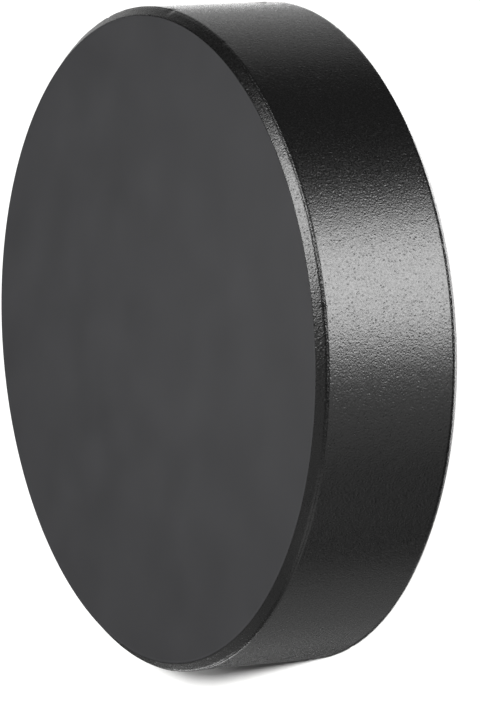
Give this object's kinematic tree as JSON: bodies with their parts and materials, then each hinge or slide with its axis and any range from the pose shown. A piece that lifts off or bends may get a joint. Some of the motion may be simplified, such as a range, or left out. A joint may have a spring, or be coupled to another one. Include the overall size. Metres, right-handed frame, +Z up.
{
  "type": "hockey puck",
  "caption": "Ice hockey puck: a thin solid rubber disc with smooth flat faces, bevelled corners and a fine-grained rim, lying flat.",
  "frame": {"origin": "middle of the lower flat face, on the surface that the puck lies on", "axes": "+Z up along the disc's axis, from the lower face to the upper one; X and Y are alike, because the disc is round"},
  "size_m": [0.0762, 0.0762, 0.0182],
  "materials": {
    "vulcanised_rubber": "black; smooth matt faces, satin fine-grained rim and bevels"
  },
  "bodies": {
    "root": {"puck_body": "vulcanised_rubber"}
  },
  "joints": []
}
